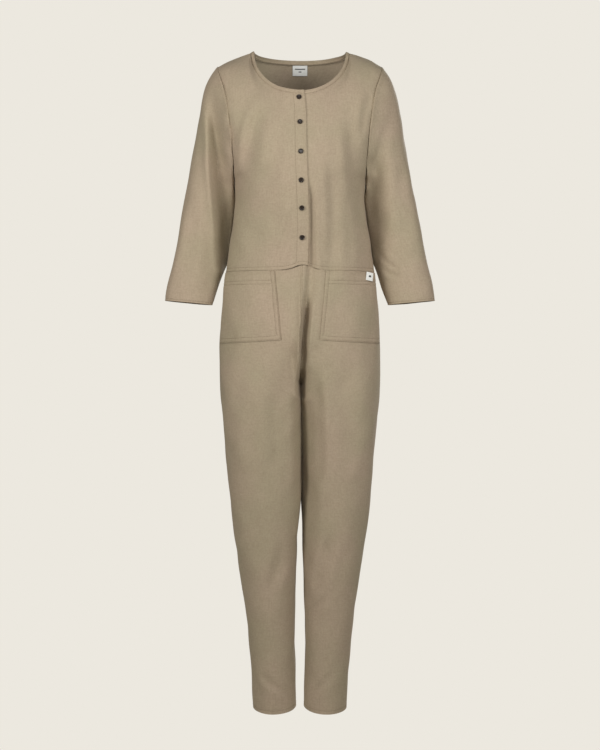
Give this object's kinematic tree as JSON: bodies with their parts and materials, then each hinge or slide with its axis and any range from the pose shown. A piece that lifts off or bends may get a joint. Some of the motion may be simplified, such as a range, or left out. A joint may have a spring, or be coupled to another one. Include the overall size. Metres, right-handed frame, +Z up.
{
  "type": "jumpsuit",
  "caption": "Button-front jumpsuit with a round neck, long sleeves, waist seam, patch pockets and tapered legs, filled out as if worn.",
  "frame": {"origin": "midway between the shoulders, at the height where they carry the garment", "axes": "+Z up, from the hems to the neck; the front faces -Y; the wearer's left is at +X"},
  "size_m": [0.562, 0.2703, 1.3822],
  "materials": {
    "twill": "taupe cotton twill, matt",
    "label_tape": "off-white woven tape",
    "button": "dark brown, glossy"
  },
  "bodies": {
    "root": {"front_bodice_right": "twill", "front_bodice_left": "twill", "back_bodice": "twill", "sleeve_right": "twill", "sleeve_left": "twill", "front_trouser_right": "twill", "front_trouser_left": "twill", "back_trouser_right": "twill", "back_trouser_left": "twill", "neck_binding": "twill", "pocket_right": "twill", "pocket_left": "twill", "neck_label": "label_tape", "pocket_tab": "label_tape", "button_1": "button", "button_2": "button", "button_3": "button", "button_4": "button", "button_5": "button", "button_6": "button"}
  },
  "joints": []
}
